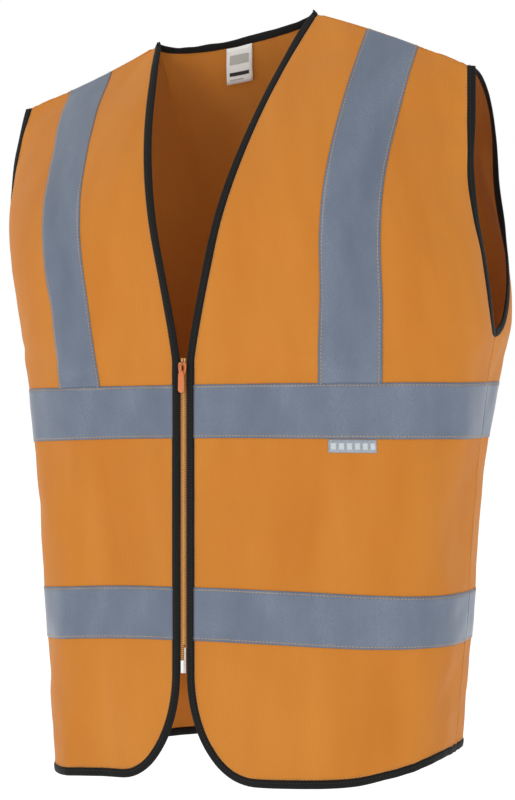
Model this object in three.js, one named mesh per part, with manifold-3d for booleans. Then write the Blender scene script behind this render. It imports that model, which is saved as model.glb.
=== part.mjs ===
// A sleeveless high visibility vest with a front zip, in the shape that it takes when it is worn.
// Millimetres, +Z up, the front faces -Y and the wearer's left is +X. The origin is midway between
// the two points where the shoulder seams meet the neckline.
import * as THREE from 'three';
import { mergeVertices } from 'three/addons/utils/BufferGeometryUtils.js';
import Module from 'manifold-3d';

const wasm = await Module();
wasm.setup();

// Body of the vest: outline seen from the front
const neckHalfWidth = 80;
const shoulderHalfWidth = 243;
const shoulderDrop = 62;
const underarmDepth = 300;
const hemDepth = 722;
const backHemRise = 12;
const topHalfWidth = 248;
const chestHalfWidth = 242;
const hemHalfWidth = 205;
const backNeckDrop = 7;
const neckPointDepth = 326;
const neckFlare = 1.15;

// How the vest hangs: it leans up to the left, its neck most, its sides hang low and stand off to the left
const leanAtShoulders = 0.035;
const leanBelow = 0.02;
const neckTwist = 8;
const sideDip = 8;
const swayAtShoulders = 6;
const swayBelow = 27;
const swayStart = 150;
const dipStart = 250;
const dipFull = 550;
const leftHemRise = 30;
const hemRiseStart = 560;

// Body of the vest: front to back
const frontDepth = 114;
const frontCrown = 220;
const backChestDepth = 110;
const backHemDepth = 94;
const waistDepth = 420;
const backCrownAtNeck = 200;
const backCrownAtTip = 65;
const frontSquareness = 3;
const backChestSquareness = 4;
const backHemSquareness = 2.8;
const foldDepth = 9;
const foldCentre = 66;
const foldWidth = 46;

// Front opening and its rounded lower corners
const openingHalfWidth = 3.3;
const cornerWidth = 66;
const cornerHeight = 102;
const cornerSplit = 50;

// Cloth, tape and binding
const clothThickness = 0.8;
const tapeThickness = 0.5;
const layerGap = 0.3;
const edgeGap = 0.2;
const bindingWidth = 7;
const bindingWall = 0.5;
const bindingGap = 0.3;
const bindingEndGap = 0.5;
const tapeWidth = 50;
const upperTapeTop = 349;
const lowerTapeTop = 539;
const shoulderTapeLeft = 126;
const shoulderTapeRight = 98;
const shoulderTapeAtSeam = 138;
const badgeHeight = 14;

// Neck label
const labelWidth = 30;
const labelHeight = 34;
const labelThickness = 0.5;
const labelClearance = 1.4;

// Zip
const zipTopDepth = 324;
const zipBottomDepth = 620;
const zipTapeWidth = 15;
const zipTapeThickness = 0.8;
const zipTapeGap = 0.6;
const toothPitch = 6;
const toothGap = 0.4;
const toothReach = 0.9;
const toothThickness = 1.6;
const spineWidth = 0.8;
const stopHeight = 3.5;
const boxHeight = 12;
const boxThickness = 3;
const pinWidth = 0.9;
const pinHeight = 24;
const sliderWidth = 8.4;
const sliderHeight = 12;
const sliderPlate = 1.4;
const crownWidth = 2.4;
const crownHeight = 5;
const crownDepth = 3.6;
const pullWidth = 6.4;
const pullLength = 24;
const pullThickness = 1.2;
const pullEarHeight = 1.3;
const pullClearance = 0.4;

// How finely each stretch is divided
const frontColumnsToTape = 4;
const backColumnsToNeck = 6;
const columnsInTape = 2;
const columnsToSide = 5;
const cornerRows = 5;
const middleRows = 3;
const underarmRows = 2;
const armholeRows = 9;
const frontRowCrowding = 1.35;
const backRowCrowding = 2;
const underarmDip = 14;

// Shapes of the armhole's curve and of the small roundings, as shares of their spans
const armholeFlat = 0.62;
const armholeHang = 0.42;
const frontArmholeSwing = 1.25;
const backArmholeSwing = 1.02;
const sliderTaper = 0.7;
const pullRounding = 0.6;

const colours = {
  cloth: { color: 0xd9822b, roughness: 0.9, metalness: 0 },
  reflective: { color: 0x76859a, roughness: 0.45, metalness: 0.1 },
  binding: { color: 0x0b0b0a, roughness: 0.85, metalness: 0 },
  zip: { color: 0xc98f4c, roughness: 0.6, metalness: 0 },
  enamel: { color: 0xc8663a, roughness: 0.35, metalness: 0.4 },
  plastic: { color: 0xe8e8e4, roughness: 0.4, metalness: 0 },
  label: { color: 0xf2f2ee, roughness: 0.7, metalness: 0 },
};

const materials = Object.fromEntries(
  Object.entries(colours).map(([name, finish]) => [name, new THREE.MeshStandardMaterial(finish)]),
);

// ---- The form: where the cloth hangs ----

const sideAngle = Math.PI / 2;
const mix = THREE.MathUtils.lerp;
const ease = THREE.MathUtils.smoothstep;

// The side seams are straight, so that each front can turn about one.
function halfWidthAt(z) {
  const share = (-z - underarmDepth) / (hemDepth - underarmDepth);
  return Math.min(mix(chestHalfWidth, hemHalfWidth, share), topHalfWidth);
}

function swayAt(x, z) {
  const amount = mix(swayAtShoulders, swayBelow, ease(-z, swayStart, underarmDepth));
  return amount * (x / halfWidthAt(z)) ** 2;
}

function seamHeightAt(x) {
  const slope = shoulderDrop / (shoulderHalfWidth - neckHalfWidth);
  return -slope * Math.max(0, Math.abs(x) - neckHalfWidth);
}

function liftAt(x, z) {
  const high = 1 - ease(-z, 0, underarmDepth);
  const twist = neckTwist * high * Math.sin((Math.PI * x) / shoulderHalfWidth);
  const dip = sideDip * ease(-z, dipStart, dipFull) * (x / halfWidthAt(z)) ** 2;
  const rise = leftHemRise * ease(-z, hemRiseStart, hemDepth) * Math.max(0, x / halfWidthAt(z)) ** 5;
  return mix(leanBelow, leanAtShoulders, high) * x + twist - dip + rise;
}

// A soft upright fold in the right front, where the cloth dips between the zip and the tape.
function foldAt(x, z) {
  if (x > 0) return 0;
  const along = Math.sin((Math.PI * Math.min(-z, hemDepth)) / hemDepth) ** 2;
  const across = Math.exp(-(((-x - foldCentre) / foldWidth) ** 2)) * ease(-x, zipTapeWidth + 5, foldCentre);
  return foldDepth * along * across;
}

const frontForm = {
  facing: -1,
  columnsToTape: frontColumnsToTape,
  rowCrowding: frontRowCrowding,
  depthAt: () => frontDepth,
  squarenessAt: () => frontSquareness,
  crownAt: (fall) => Math.sin((Math.PI / 2) * Math.min(fall / frontCrown, 1)),
};

const backForm = {
  facing: 1,
  columnsToTape: backColumnsToNeck + 1,
  rowCrowding: backRowCrowding,
  depthAt: (z) => mix(backChestDepth, backHemDepth, ease(-z, underarmDepth, waistDepth)),
  squarenessAt: (z) => mix(backChestSquareness, backHemSquareness, ease(-z, underarmDepth, waistDepth)),
  crownAt: (fall, x) => {
    const slanted = Math.sin(sideAngle * Math.min(fall / backCrownAtNeck, 1));
    const rounded = Math.sqrt(1 - (1 - Math.min(fall / backCrownAtTip, 1)) ** 2);
    return mix(slanted, rounded, ease(Math.abs(x), neckHalfWidth, shoulderHalfWidth));
  },
};

// A point of the form at an angle round the body, 0 at the middle and 90 degrees at the side seam.
function formPoint(form, angle, z) {
  const power = form.squarenessAt(z);
  const sine = Math.sin(angle);
  const cosine = Math.cos(angle);
  const radius = (Math.abs(sine) ** power + Math.abs(cosine) ** power) ** (-1 / power);
  const x = halfWidthAt(z) * sine * radius;
  const fall = Math.max(0, seamHeightAt(x) - z);
  const y = form.facing * form.depthAt(z) * cosine * radius * form.crownAt(fall, x);
  const fold = form === frontForm ? foldAt(x, z) * Math.min(1, 2 * cosine) : 0;
  return new THREE.Vector3(x + swayAt(x, z), y + fold, z + liftAt(x, z));
}

function widthAt(form, angle, z) {
  const power = form.squarenessAt(z);
  const radius = (Math.sin(angle) ** power + Math.abs(Math.cos(angle)) ** power) ** (-1 / power);
  return halfWidthAt(z) * Math.sin(angle) * radius;
}

function angleAt(form, x, z) {
  const share = Math.abs(x) / halfWidthAt(z);
  if (share >= 1) return (Math.sign(x) * Math.PI) / 2;
  const power = form.squarenessAt(z);
  return Math.sign(x) * Math.atan2(1, (share ** -power - 1) ** (1 / power));
}

function formNormal(form, angle, z) {
  const step = 0.01;
  const across = formPoint(form, angle + step, z).sub(formPoint(form, angle - step, z));
  const up = formPoint(form, angle, z + step * 10).sub(formPoint(form, angle, z - step * 10));
  return across.cross(up).multiplyScalar(-form.facing).normalize();
}

function seamPoint(x) {
  const z = seamHeightAt(x);
  return formPoint(frontForm, angleAt(frontForm, x, z), z);
}

// Along the shoulder seam, away from the neck.
function seamDirection(side, x = side * neckSeamX) {
  return seamPoint(x + side).sub(seamPoint(x)).normalize();
}

function seamNormal(side, x) {
  const out = seamDirection(side, x);
  return new THREE.Vector3(-out.z * side, 0, out.x * side);
}

function nodeAt(form, angle, z) {
  return { point: formPoint(form, angle, z), normal: formNormal(form, angle, z) };
}

// ---- The rows and columns that the pieces share ----

const innerEdge = openingHalfWidth + bindingWidth;
const hemInside = -hemDepth + bindingWidth;
const neckSeamX = neckHalfWidth + bindingWidth;
const upperTapeBottom = upperTapeTop + tapeWidth;
const lowerTapeBottom = lowerTapeTop + tapeWidth;
const badgeBottom = upperTapeBottom + badgeHeight;
const upperRows = underarmRows + armholeRows;

function spread(from, to, count) {
  return Array.from({ length: count }, (_, i) => mix(from, to, (i + 1) / count));
}

const lowerLevels = [
  -lowerTapeBottom,
  -lowerTapeTop,
  ...spread(-lowerTapeTop, -badgeBottom, middleRows),
  -upperTapeBottom,
  -upperTapeTop,
];
const rowOf = {
  lowerTapeBottom: cornerRows,
  lowerTapeTop: cornerRows + 1,
  badgeBottom: cornerRows + 1 + middleRows,
  upperTapeBottom: cornerRows + 2 + middleRows,
  upperTapeTop: cornerRows + 3 + middleRows,
  seam: cornerRows + 3 + middleRows + upperRows,
};

function columnsOf(form) {
  const tapeInner = form.columnsToTape;
  const tapeOuter = tapeInner + columnsInTape;
  return { tapeInner, tapeOuter, side: tapeOuter + columnsToSide };
}

// Rows crowd together towards the shoulder seam, where the cloth turns over.
function crowded(form, share) {
  return 1 - (1 - share) ** form.rowCrowding;
}

// Height of a row on a line that ends at the given top: level to the underarm, then up to the seam.
function heightAt(form, row, top, dip = underarmDip) {
  const climbed = row - rowOf.upperTapeTop;
  const low = -(underarmDepth + bindingWidth + dip);
  if (climbed <= underarmRows) return mix(-upperTapeTop, low, climbed / underarmRows);
  return mix(low, top, crowded(form, (climbed - underarmRows) / armholeRows));
}

function riseAt(z, top) {
  return (z + upperTapeTop) / (top + upperTapeTop);
}

function armholeCurve(form) {
  const low = underarmDepth + bindingWidth;
  const shoulderX = shoulderHalfWidth - bindingWidth;
  const top = angleAt(form, shoulderX, seamHeightAt(shoulderX));
  const swing = form === frontForm ? frontArmholeSwing : backArmholeSwing;
  return new THREE.CubicBezierCurve(
    new THREE.Vector2(sideAngle, -low),
    new THREE.Vector2(mix(sideAngle, top, armholeFlat), -low),
    new THREE.Vector2(top * swing, mix(-low, -shoulderDrop, armholeHang)),
    new THREE.Vector2(top, seamHeightAt(shoulderX)),
  );
}

// Each key line runs from the upper tape's top edge, row by row, to the shoulder seam or the neck.
function sideLine(form, row) {
  const climbed = row - rowOf.upperTapeTop;
  if (climbed <= underarmRows) return new THREE.Vector2(sideAngle, heightAt(form, row, 0, 0));
  return armholeCurve(form).getPoint(crowded(form, (climbed - underarmRows) / armholeRows));
}

function tapeLine(form, row, lowX, seamX) {
  const top = seamHeightAt(seamX);
  const z = heightAt(form, row, top);
  const x = mix(lowX, seamX, riseAt(z, top));
  return new THREE.Vector2(angleAt(form, x, z), z);
}

function neckLine(form, row) {
  const z = heightAt(form, row, 0);
  const open = Math.max(0, 1 + z / neckPointDepth);
  const x = innerEdge + (neckHalfWidth - openingHalfWidth) * open ** neckFlare;
  return new THREE.Vector2(angleAt(form, x, z), z);
}

// The middle of the back has no edge: its columns run up to the back neckline, a shallow scoop.
function backMiddleLine(form, row, column) {
  const turn = (sideAngle * column) / backColumnsToNeck;
  const topX = neckSeamX * Math.sin(turn);
  const top = mix(-backNeckDrop - bindingWidth, seamHeightAt(neckSeamX), 1 - Math.cos(turn));
  const z = heightAt(form, row, top);
  const x = mix((shoulderTapeLeft * column) / form.columnsToTape, topX, riseAt(z, top));
  return new THREE.Vector2(angleAt(form, x, z), z);
}

function between(a, b, share) {
  return a.clone().lerp(b, share);
}

function upperPoint(form, row, column, tapeX) {
  const { tapeInner, tapeOuter } = columnsOf(form);
  const inner = tapeLine(form, row, tapeX, shoulderTapeAtSeam);
  const outer = tapeLine(form, row, tapeX + tapeWidth, shoulderTapeAtSeam + tapeWidth);
  if (column >= tapeOuter) return between(outer, sideLine(form, row), (column - tapeOuter) / columnsToSide);
  if (column >= tapeInner) return between(inner, outer, (column - tapeInner) / columnsInTape);
  if (form === backForm) return backMiddleLine(form, row, column);
  return between(neckLine(form, row), inner, column / tapeInner);
}

function levelAngle(form, column, z, edgeX, tapeX) {
  const { tapeInner, tapeOuter } = columnsOf(form);
  const inner = angleAt(form, tapeX, z);
  const outer = angleAt(form, tapeX + tapeWidth, z);
  if (column >= tapeOuter) return mix(outer, sideAngle, (column - tapeOuter) / columnsToSide);
  if (column >= tapeInner) return mix(inner, outer, (column - tapeInner) / columnsInTape);
  return mix(angleAt(form, edgeX, z), inner, column / tapeInner);
}

// The rounded lower corner of a front, blended into the rows above and the columns beside it.
function cornerEdge(degrees) {
  const radiusX = cornerWidth - bindingWidth;
  const radiusZ = cornerHeight - bindingWidth;
  const turn = THREE.MathUtils.degToRad(degrees);
  const x = innerEdge + radiusX * (1 - Math.cos(turn));
  return new THREE.Vector2(x, hemInside + radiusZ * (1 - Math.sin(turn)));
}

function cornerLeft(share) {
  const straight = 0.2;
  const foot = cornerEdge(0);
  if (share < 1 - straight) return cornerEdge(cornerSplit * (1 - share / (1 - straight)));
  return new THREE.Vector2(foot.x, mix(foot.y, -lowerTapeBottom, (share - 1 + straight) / straight));
}

function cornerBottom(share, tapeX) {
  const curved = 0.5;
  if (share < curved) return cornerEdge(mix(cornerSplit, 90, share / curved));
  return new THREE.Vector2(mix(cornerEdge(90).x, tapeX, (share - curved) / (1 - curved)), hemInside);
}

function cornerPoint(across, up, tapeX) {
  const left = cornerLeft(up);
  const bottom = cornerBottom(across, tapeX);
  const right = new THREE.Vector2(tapeX, mix(hemInside, -lowerTapeBottom, up));
  const top = new THREE.Vector2(mix(innerEdge, tapeX, across), -lowerTapeBottom);
  const sides = between(left, right, across);
  const ends = between(bottom, top, up);
  const low = between(cornerLeft(0), right.clone().setY(hemInside), across);
  const high = between(cornerLeft(1), right.clone().setY(-lowerTapeBottom), across);
  return sides.add(ends).sub(between(low, high, up));
}

function lowerPoint(form, row, column, tapeX) {
  const inCorner = row < rowOf.lowerTapeBottom;
  if (inCorner && form === frontForm && column < frontColumnsToTape) {
    const plan = cornerPoint(column / frontColumnsToTape, row / cornerRows, tapeX);
    return new THREE.Vector2(angleAt(form, plan.x, plan.y), plan.y);
  }
  const turn = (sideAngle * column) / columnsOf(form).side;
  const hem = hemInside + (form === backForm ? backHemRise * Math.cos(turn) : 0);
  const z = inCorner ? mix(hem, -lowerTapeBottom, row / cornerRows) : lowerLevels[row - cornerRows];
  const edgeX = form === frontForm ? innerEdge : 0;
  return new THREE.Vector2(levelAngle(form, column, z, edgeX, tapeX), z);
}

function gridNode(form, row, column, side, tapeX) {
  const upper = row > rowOf.upperTapeTop;
  const plan = (upper ? upperPoint : lowerPoint)(form, row, column, tapeX);
  const x = widthAt(form, plan.x, plan.y);
  const onSeam = row === rowOf.seam && x > neckSeamX - layerGap;
  if (!onSeam) return nodeAt(form, side * plan.x, plan.y);
  return { point: seamPoint(side * x), normal: seamNormal(side, side * x) };
}

// A grid is a list of columns, each a list of nodes from the hem up.
function column(form, index, side, tapeX) {
  return Array.from({ length: rowOf.seam + 1 }, (_, row) => gridNode(form, row, index, side, tapeX));
}

function frontGrid(side) {
  const tapeX = side > 0 ? shoulderTapeLeft : shoulderTapeRight;
  return Array.from({ length: columnsOf(frontForm).side + 1 }, (_, i) => column(frontForm, i, side, tapeX));
}

function backGrid() {
  const grid = [];
  const reach = columnsOf(backForm).side;
  for (let i = -reach; i <= reach; i += 1) {
    grid.push(column(backForm, Math.abs(i), i < 0 ? -1 : 1, shoulderTapeLeft));
  }
  return grid;
}

// ---- Solids made from the grids ----

function geometryFrom(points, triangles) {
  const geometry = new THREE.BufferGeometry();
  geometry.setAttribute('position', new THREE.Float32BufferAttribute(points.flatMap((p) => p.toArray()), 3));
  let volume = 0;
  for (const [a, b, c] of triangles) volume += points[a].dot(points[b].clone().cross(points[c]));
  const facing = volume < 0 ? triangles.map(([a, b, c]) => [a, c, b]) : triangles;
  geometry.setIndex(facing.flat());
  geometry.computeVertexNormals();
  return geometry;
}

function offset(node, distance) {
  return node.point.clone().addScaledVector(node.normal, distance);
}

// Pulls every edge of a patch in by the edge gap, so that neighbouring pieces don't touch.
function pulledIn(nodes, quads) {
  const moves = nodes.map(() => new THREE.Vector3());
  for (const [from, to, inside] of borderEdges(quads)) {
    const along = nodes[to].point.clone().sub(nodes[from].point).normalize();
    const inward = nodes[inside].point.clone().sub(nodes[from].point);
    inward.addScaledVector(along, -inward.dot(along)).normalize();
    for (const index of [from, to]) {
      const missing = edgeGap - moves[index].dot(inward);
      if (missing > 0) moves[index].addScaledVector(inward, missing);
    }
  }
  return nodes.map((node, i) => ({ point: node.point.clone().add(moves[i]), normal: node.normal }));
}

function borderEdges(quads) {
  const found = new Map();
  for (const quad of quads) {
    quad.forEach((from, i) => {
      const to = quad[(i + 1) % 4];
      const twin = `${to},${from}`;
      if (!found.delete(twin)) found.set(`${from},${to}`, [from, to, quad[(i + 2) % 4]]);
    });
  }
  return [...found.values()];
}

// A slab of cloth between two heights above the form.
function slab({ nodes, quads }, low, high) {
  const trimmed = pulledIn(nodes, quads);
  const points = [...trimmed.map((node) => offset(node, low)), ...trimmed.map((node) => offset(node, high))];
  const count = trimmed.length;
  const triangles = [];
  for (const [a, b, c, d] of quads) {
    triangles.push([a, b, c], [a, c, d]);
    triangles.push([a + count, c + count, b + count], [a + count, d + count, c + count]);
  }
  for (const [from, to] of borderEdges(quads)) {
    triangles.push([from, from + count, to + count], [from, to + count, to]);
  }
  return geometryFrom(points, triangles);
}

function patch(grid, fromColumn, toColumn, fromRow, toRow) {
  const nodes = [];
  const quads = [];
  const height = toRow - fromRow + 1;
  for (let i = fromColumn; i <= toColumn; i += 1) nodes.push(...grid[i].slice(fromRow, toRow + 1));
  for (let i = 0; i < toColumn - fromColumn; i += 1) {
    for (let j = 0; j < height - 1; j += 1) {
      const corner = i * height + j;
      quads.push([corner, corner + height, corner + height + 1, corner + 1]);
    }
  }
  return { nodes, quads };
}

// The bound edge of a panel: each grid node on the edge, and the point one binding width outside it.
function edgeStrip(nodes, away) {
  return nodes.map((node, i) => {
    const before = nodes[Math.max(0, i - 1)].point;
    const after = nodes[Math.min(nodes.length - 1, i + 1)].point;
    const along = after.clone().sub(before).normalize();
    const out = along.cross(node.normal).normalize();
    if (out.dot(away[i]) < 0) out.negate();
    const point = node.point.clone().addScaledVector(out, bindingWidth);
    return { inner: node, outer: { point, normal: node.normal } };
  });
}

// Ends of a strip lie in the plane of the seam that the piece stops at.
function squareEnd(station, direction) {
  const reach = direction.clone().normalize().multiplyScalar(bindingWidth);
  station.outer = { point: station.inner.point.clone().add(reach), normal: station.inner.normal };
}

function awayFrom(nodes, insiders) {
  return nodes.map((node, i) => node.point.clone().sub(insiders[i].point));
}

function frontEdgeStrip(grid, side) {
  const up = grid[0].slice().reverse();
  const along = grid.slice(1).map((nodes) => nodes[0]);
  const insideUp = grid[1].slice().reverse();
  const insideAlong = grid.slice(1).map((nodes) => nodes[1]);
  const nodes = [...up, ...along];
  const away = awayFrom(nodes, [...insideUp, ...insideAlong]);
  away[up.length - 1] = grid[0][0].point.clone().sub(grid[1][1].point);
  const strip = edgeStrip(nodes, away);
  squareEnd(strip[0], seamDirection(side).negate());
  squareEnd(strip[strip.length - 1], new THREE.Vector3(0, 0, -1));
  return strip;
}

function armholeStrip(edge, inside, side) {
  const nodes = edge.slice(rowOf.upperTapeTop + underarmRows);
  const away = awayFrom(nodes, inside.slice(rowOf.upperTapeTop + underarmRows));
  away[0].set(0, 0, 1);
  const strip = edgeStrip(nodes, away);
  squareEnd(strip[0], new THREE.Vector3(0, 0, 1));
  squareEnd(strip[strip.length - 1], seamDirection(side));
  return strip;
}

function backHemStrip(grid) {
  const nodes = grid.map((nodes) => nodes[0]);
  const strip = edgeStrip(nodes, nodes.map(() => new THREE.Vector3(0, 0, -1)));
  squareEnd(strip[0], new THREE.Vector3(0, 0, -1));
  squareEnd(strip[strip.length - 1], new THREE.Vector3(0, 0, -1));
  return strip;
}

function backNeckStrip(grid) {
  const middle = columnsOf(backForm).side;
  const reach = backColumnsToNeck;
  const nodes = grid.slice(middle - reach, middle + reach + 1).map((nodes) => nodes[rowOf.seam]);
  const strip = edgeStrip(nodes, nodes.map(() => new THREE.Vector3(0, 0, 1)));
  squareEnd(strip[0], seamDirection(-1).negate());
  squareEnd(strip[strip.length - 1], seamDirection(1).negate());
  return strip;
}

// A panel is its grid with the bound strips joined on along its edges.
function panel(grid, strips) {
  const { nodes, quads } = patch(grid, 0, grid.length - 1, 0, rowOf.seam);
  for (const strip of strips) {
    const inner = strip.map((station) => nodes.indexOf(station.inner));
    const first = nodes.length;
    nodes.push(...strip.map((station) => station.outer));
    for (let i = 0; i < strip.length - 1; i += 1) {
      quads.push([inner[i], inner[i + 1], first + i + 1, first + i]);
    }
  }
  return { nodes, quads: quads.map((quad) => facingOut(nodes, quad)) };
}

function facingOut(nodes, quad) {
  const [a, b, c, d] = quad.map((index) => nodes[index].point);
  const normal = c.clone().sub(a).cross(d.clone().sub(b));
  return normal.dot(nodes[quad[0]].normal) < 0 ? [quad[0], quad[3], quad[2], quad[1]] : quad;
}

// A folded binding: a channel with its two walls on either side of the cloth's edge.
function channelSection({ inner, outer }) {
  const out = outer.point.clone().sub(inner.point).normalize();
  const place = (node, reach, height) => offset(node, height).addScaledVector(out, reach);
  const low = -bindingGap;
  const high = clothThickness + bindingGap;
  return [
    place(inner, edgeGap * 2, high + bindingWall),
    place(outer, bindingWall + bindingGap, high + bindingWall),
    place(outer, bindingWall + bindingGap, low - bindingWall),
    place(inner, edgeGap * 2, low - bindingWall),
    place(inner, edgeGap * 2, low),
    place(outer, bindingGap, low),
    place(outer, bindingGap, high),
    place(inner, edgeGap * 2, high),
  ];
}

function shiftedStation(station, next) {
  const move = (node, other) => {
    const along = other.point.clone().sub(node.point).normalize();
    return { point: node.point.clone().addScaledVector(along, bindingEndGap), normal: node.normal };
  };
  return { inner: move(station.inner, next.inner), outer: move(station.outer, next.outer) };
}

function binding(strip) {
  const last = strip.length - 1;
  const stations = strip.slice();
  stations[0] = shiftedStation(strip[0], strip[1]);
  stations[last] = shiftedStation(strip[last], strip[last - 1]);
  const points = stations.flatMap(channelSection);
  const corners = 8;
  const outwardWalls = [0, 1, 3, 4, 5, 7];
  const triangles = [];
  for (let i = 0; i < last; i += 1) {
    for (let k = 0; k < corners; k += 1) {
      const a = i * corners + k;
      const b = i * corners + ((k + 1) % corners);
      const slant = outwardWalls.includes(k) ? [a, b + corners] : [b, a + corners];
      triangles.push([a, b, slant[1]], [slant[0], b + corners, a + corners]);
    }
  }
  const capQuads = [[0, 1, 6, 7], [1, 2, 5, 6], [2, 3, 4, 5]];
  const end = last * corners;
  for (const [a, b, c, d] of capQuads) {
    triangles.push([a, c, b], [a, d, c]);
    triangles.push([a + end, b + end, c + end], [a + end, c + end, d + end]);
  }
  return geometryFrom(points, triangles);
}

// ---- Zip and labels ----

const zipFace = formPoint(frontForm, 0, -upperTapeTop).y;
const tapeFrontY = zipFace + bindingGap + bindingWall + layerGap;
const teethBackY = tapeFrontY - layerGap;
const bindingFaceY = zipFace - clothThickness - bindingGap - bindingWall;
const sliderBackY = Math.min(bindingFaceY, teethBackY - toothThickness) - layerGap;
const spineOuter = toothReach + toothGap + spineWidth;
const sliderTop = -(zipTopDepth + stopHeight + edgeGap);
const pullPivotZ = sliderTop - sliderHeight / 2 + crownHeight / 2 - pullThickness;
const pullPivotY = sliderBackY - sliderPlate - crownDepth / 2;

function block(fromX, toX, fromY, toY, fromZ, toZ) {
  const geometry = new THREE.BoxGeometry(Math.abs(toX - fromX), Math.abs(toY - fromY), Math.abs(toZ - fromZ));
  return geometry.translate((fromX + toX) / 2, (fromY + toY) / 2, (fromZ + toZ) / 2);
}

// An outline drawn in x and z, given a thickness from back to front.
function plate(shape, backY, thickness, curveSegments = 6) {
  const geometry = new THREE.ExtrudeGeometry(shape, { depth: thickness, bevelEnabled: false, curveSegments });
  return geometry.rotateX(Math.PI / 2).translate(0, backY, 0);
}

function zipTape(side) {
  const near = side * zipTapeGap;
  const far = side * (zipTapeGap + zipTapeWidth);
  return block(near, far, tapeFrontY, tapeFrontY + zipTapeThickness, -zipBottomDepth, -zipTopDepth);
}

function toothComb(side) {
  const top = -zipTopDepth - stopHeight - toothGap;
  const bottom = -zipBottomDepth + (side > 0 ? pinHeight : boxHeight) + toothGap;
  const count = Math.floor((top - bottom) / toothPitch);
  const halfTooth = toothPitch / 2 - toothGap;
  const start = top - (side > 0 ? 0 : toothPitch / 2);
  const outer = side * spineOuter;
  const root = side * (spineOuter - spineWidth);
  const tip = -side * toothReach;
  const shape = new THREE.Shape();
  shape.moveTo(outer, top);
  shape.lineTo(root, top);
  for (let i = 0; i < count; i += 1) {
    const z = start - i * toothPitch;
    if (z < top) shape.lineTo(root, z);
    shape.lineTo(tip, z);
    shape.lineTo(tip, z - halfTooth);
    shape.lineTo(root, z - halfTooth);
  }
  shape.lineTo(root, bottom);
  shape.lineTo(outer, bottom);
  return plate(shape, teethBackY, toothThickness);
}

function topStop(side) {
  const near = side * zipTapeGap;
  const bottom = -zipTopDepth - stopHeight;
  return block(near, side * spineOuter, teethBackY - toothThickness, teethBackY, bottom, -zipTopDepth);
}

function retainerBox() {
  const right = toothReach;
  const left = -spineOuter;
  const bottom = -zipBottomDepth;
  return block(left, right, teethBackY - boxThickness, teethBackY, bottom, bottom + boxHeight);
}

function insertionPin() {
  const near = toothReach + toothGap;
  const bottom = -zipBottomDepth;
  return block(near, near + pinWidth, teethBackY - toothThickness, teethBackY, bottom, bottom + pinHeight);
}

function sliderOutline() {
  const half = sliderWidth / 2;
  const foot = half * sliderTaper;
  const bottom = sliderTop - sliderHeight;
  const shape = new THREE.Shape();
  shape.moveTo(-foot, bottom);
  shape.lineTo(foot, bottom);
  shape.quadraticCurveTo(half, bottom + sliderHeight / 2, half, sliderTop);
  shape.lineTo(-half, sliderTop);
  shape.quadraticCurveTo(-half, bottom + sliderHeight / 2, -foot, bottom);
  return shape;
}

function manifoldOf(geometry) {
  const bare = geometry.clone();
  bare.deleteAttribute('normal');
  bare.deleteAttribute('uv');
  const merged = mergeVertices(bare);
  return new wasm.Manifold(
    new wasm.Mesh({
      numProp: 3,
      vertProperties: new Float32Array(merged.attributes.position.array),
      triVerts: new Uint32Array(merged.index.array),
    }),
  );
}

function joined(a, b) {
  const { vertProperties, triVerts } = manifoldOf(a).add(manifoldOf(b)).getMesh();
  const geometry = new THREE.BufferGeometry();
  geometry.setAttribute('position', new THREE.BufferAttribute(vertProperties, 3));
  geometry.setIndex(new THREE.BufferAttribute(triVerts, 1));
  geometry.computeVertexNormals();
  return geometry;
}

function zipSlider() {
  const body = plate(sliderOutline(), sliderBackY, sliderPlate);
  const front = sliderBackY - sliderPlate;
  const crown = block(
    -crownWidth / 2,
    crownWidth / 2,
    front + sliderPlate / 2,
    front - crownDepth,
    pullPivotZ - crownHeight / 2,
    pullPivotZ + crownHeight / 2,
  );
  return joined(body, crown);
}

// The pull hangs by two ears, one on each side of the slider's crown.
function pullTab() {
  const half = pullWidth / 2;
  const notch = crownWidth / 2 + pullClearance;
  const notchFloor = pullPivotZ - Math.hypot(crownHeight, crownDepth) / 2 - pullClearance;
  const top = pullPivotZ + pullEarHeight;
  const bottom = pullPivotZ - pullLength;
  const round = half * pullRounding;
  const shape = new THREE.Shape();
  shape.moveTo(-half, top);
  shape.lineTo(-half, bottom + round);
  shape.quadraticCurveTo(-half, bottom, -half + round, bottom);
  shape.lineTo(half - round, bottom);
  shape.quadraticCurveTo(half, bottom, half, bottom + round);
  shape.lineTo(half, top);
  shape.lineTo(notch, top);
  shape.lineTo(notch, notchFloor);
  shape.lineTo(-notch, notchFloor);
  shape.lineTo(-notch, top);
  return plate(shape, pullPivotY + pullThickness / 2, pullThickness);
}

function neckLabel() {
  const steps = 3;
  const top = -backNeckDrop - bindingWidth - labelClearance;
  const grid = Array.from({ length: steps + 1 }, (_, i) => {
    const x = mix(-labelWidth / 2, labelWidth / 2, i / steps);
    return Array.from({ length: steps + 1 }, (_, j) => {
      const z = mix(top - labelHeight, top, j / steps);
      return nodeAt(backForm, angleAt(backForm, x, z), z);
    });
  });
  return slab(patch(grid, 0, steps, 0, steps), -labelClearance - labelThickness, -labelClearance);
}

// ---- The vest ----

const vest = new THREE.Group();

function add(name, geometry, material) {
  const mesh = new THREE.Mesh(geometry, materials[material]);
  mesh.name = name;
  vest.add(mesh);
}

const tapeLow = clothThickness + layerGap;
const tapeHigh = tapeLow + tapeThickness;

function addTape(name, grid, fromColumn, toColumn, fromRow, toRow, material = 'reflective') {
  add(name, slab(patch(grid, fromColumn, toColumn, fromRow, toRow), tapeLow, tapeHigh), material);
}

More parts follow.
